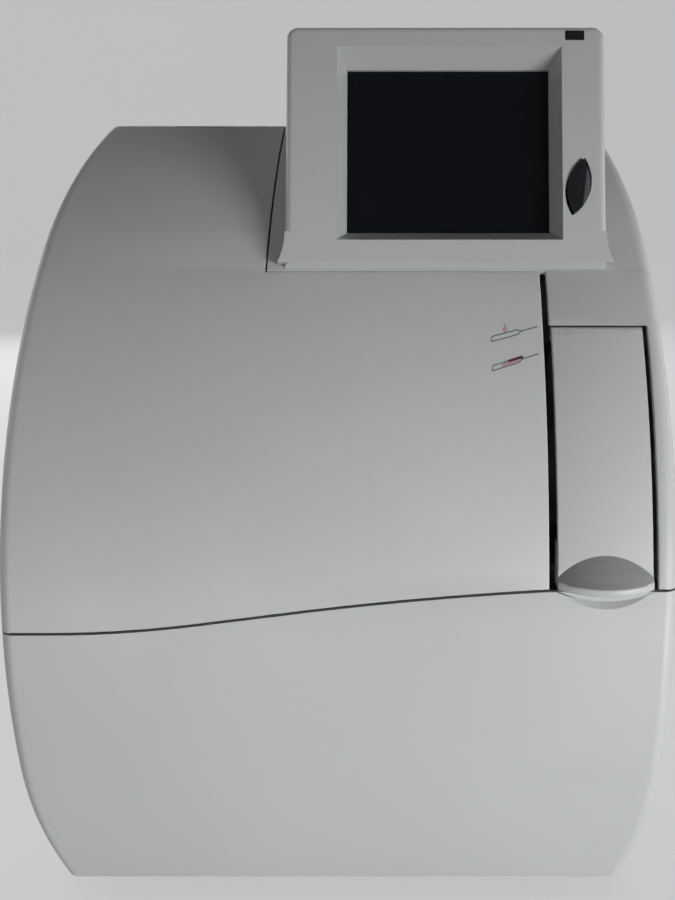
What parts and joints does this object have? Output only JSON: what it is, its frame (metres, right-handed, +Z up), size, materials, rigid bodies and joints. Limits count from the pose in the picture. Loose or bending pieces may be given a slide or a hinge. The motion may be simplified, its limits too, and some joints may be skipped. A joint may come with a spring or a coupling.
{
  "type": "blood gas analyzer",
  "caption": "Compact bench-top blood gas analyzer with barrel-shaped covers, a leaning touch screen and a sample flap",
  "frame": {"origin": "middle of the footprint, on the table under the feet", "axes": "+Z up, front faces -Y, +X to the viewer's right from the front"},
  "size_m": [0.367, 0.36, 0.4877],
  "materials": {
    "cover_plastic": "fine textured off-white moulding",
    "console_plastic": "smooth off-white moulding",
    "screen_glass": "dark touch glass, switched off",
    "button_gloss": "dark gloss",
    "lamp_dark": "smoked window",
    "foot_rubber": "soft black rubber",
    "port_rubber": "pale silicone",
    "sheet_steel": "grey coated sheet",
    "bright_steel": "bright steel",
    "circuit_board": "green circuit board",
    "black_plastic": "black moulding",
    "inner_plastic": "mid-grey moulding",
    "chamber_block": "machined pale polymer",
    "clear_plastic": "clear door",
    "rotor_plastic": "white moulding",
    "motor_steel": "zinc-plated can",
    "sensor_ceramic": "pale sensor bodies",
    "bottle_plastic": "milky bottle",
    "paper": "white paper roll",
    "platen_rubber": "ground rubber"
  },
  "bodies": {
    "housing": {"back_panel": "sheet_steel", "base_plate": "sheet_steel", "bay_shelf": "sheet_steel", "bottle_1": "bottle_plastic", "bottle_2": "bottle_plastic", "bottle_3": "bottle_plastic", "bottle_4": "bottle_plastic", "bottle_caps": "inner_plastic", "bottle_tray": "inner_plastic", "bulkhead": "sheet_steel", "console_housing": "console_plastic", "console_panel": "cover_plastic", "display_boards": "circuit_board", "display_module": "bright_steel", "docking_rail": "black_plastic", "drip_tray": "inner_plastic", "fan_frame": "black_plastic", "flap_pin": "bright_steel", "lamp_window": "lamp_dark", "lower_hinge_brackets": "sheet_steel", "lower_hinge_pins": "bright_steel", "main_board": "circuit_board", "mains_inlet": "black_plastic", "measuring_chamber": "chamber_block", "paper_well": "inner_plastic", "power_supply": "bright_steel", "print_head": "black_plastic", "printer_shafts": "bright_steel", "pump_head_1": "inner_plastic", "pump_head_2": "inner_plastic", "pump_head_3": "inner_plastic", "pump_motors": "motor_steel", "rear_housing": "cover_plastic", "rear_ports": "bright_steel", "right_panel": "cover_plastic", "rubber_feet": "foot_rubber", "sample_block": "inner_plastic", "sample_needle": "bright_steel", "sensors": "sensor_ceramic", "solenoid_valves": "black_plastic", "top_hinge_bracket": "sheet_steel", "top_hinge_pin": "bright_steel", "touch_glass": "screen_glass", "valve_block": "inner_plastic"},
    "upper_cover": {"upper_cover": "cover_plastic"},
    "lower_cover": {"lower_cover": "cover_plastic"},
    "sample_flap": {"sample_flap": "cover_plastic"},
    "standby_button": {"standby_button": "button_gloss"},
    "printer_lid": {"printer_lid": "cover_plastic"},
    "paper_roll": {"paper_roll": "paper"},
    "platen_roller": {"platen_roller": "platen_rubber"},
    "pump_rotor_1": {"pump_rotor_1": "rotor_plastic"},
    "pump_rotor_2": {"pump_rotor_2": "rotor_plastic"},
    "pump_rotor_3": {"pump_rotor_3": "rotor_plastic"},
    "chamber_door": {"chamber_door": "clear_plastic"},
    "chamber_lever": {"chamber_lever": "black_plastic"},
    "docking_disc": {"docking_disc": "inner_plastic", "fill_port": "port_rubber"},
    "fan_impeller": {"fan_impeller": "black_plastic"},
    "power_switch": {"power_switch": "black_plastic"}
  },
  "joints": [
    {"name": "upper_cover_hinge", "type": "hinge", "parent": "housing", "child": "upper_cover", "pos_m": [-0.101, 0.036, 0.432], "axis": [-1, 0, 0], "range_deg": [0, 75]},
    {"name": "lower_cover_hinge", "type": "hinge", "parent": "housing", "child": "lower_cover", "pos_m": [0, -0.158, 0.022], "axis": [1, 0, 0], "range_deg": [0, 80]},
    {"name": "sample_flap_hinge", "type": "hinge", "parent": "housing", "child": "sample_flap", "pos_m": [0.1436, -0.10393, 0.3184], "axis": [-1, 0, 0], "range_deg": [0, 75]},
    {"name": "standby_button_press", "type": "slide", "parent": "housing", "child": "standby_button", "axis": [0, 0.9511, -0.309], "range_m": [0, 0.0012], "stiffness_N_per_m": 600},
    {"name": "printer_lid_hinge", "type": "hinge", "parent": "housing", "child": "printer_lid", "pos_m": [-0.097, 0.1315, 0.4345], "axis": [-1, 0, 0], "range_deg": [0, 95]},
    {"name": "paper_roll_spin", "type": "hinge", "parent": "housing", "child": "paper_roll", "pos_m": [-0.097, 0.104, 0.4006], "axis": [1, 0, 0], "continuous": true},
    {"name": "platen_spin", "type": "hinge", "parent": "housing", "child": "platen_roller", "pos_m": [-0.097, 0.074, 0.424], "axis": [1, 0, 0], "continuous": true},
    {"name": "pump_1_spin", "type": "hinge", "parent": "housing", "child": "pump_rotor_1", "pos_m": [0.012, -0.078, 0.208], "axis": [0, 1, 0], "continuous": true},
    {"name": "pump_2_spin", "type": "hinge", "parent": "housing", "child": "pump_rotor_2", "pos_m": [0.048, -0.078, 0.208], "axis": [0, 1, 0], "continuous": true},
    {"name": "pump_3_spin", "type": "hinge", "parent": "housing", "child": "pump_rotor_3", "pos_m": [0.084, -0.078, 0.208], "axis": [0, 1, 0], "continuous": true},
    {"name": "chamber_door_hinge", "type": "hinge", "parent": "housing", "child": "chamber_door", "pos_m": [-0.084, -0.0968, 0.231], "axis": [1, 0, 0], "range_deg": [0, 90]},
    {"name": "chamber_lever_turn", "type": "hinge", "parent": "housing", "child": "chamber_lever", "pos_m": [-0.018, -0.0963, 0.262], "axis": [0, -1, 0], "range_deg": [0, 90]},
    {"name": "docking_disc_turn", "type": "hinge", "parent": "housing", "child": "docking_disc", "pos_m": [0.143, -0.0913, 0.268], "axis": [0, 1, 0], "range_deg": [-90, 90]},
    {"name": "fan_spin", "type": "hinge", "parent": "housing", "child": "fan_impeller", "pos_m": [0.08, 0.16, 0.33], "axis": [0, 1, 0], "continuous": true},
    {"name": "power_switch_rock", "type": "hinge", "parent": "housing", "child": "power_switch", "pos_m": [-0.054, 0.174, 0.062], "axis": [1, 0, 0], "range_deg": [-8, 8]}
  ],
  "couplings": [
    {"joint": "platen_spin", "follows": "paper_roll_spin", "ratio": 4.4}
  ]
}
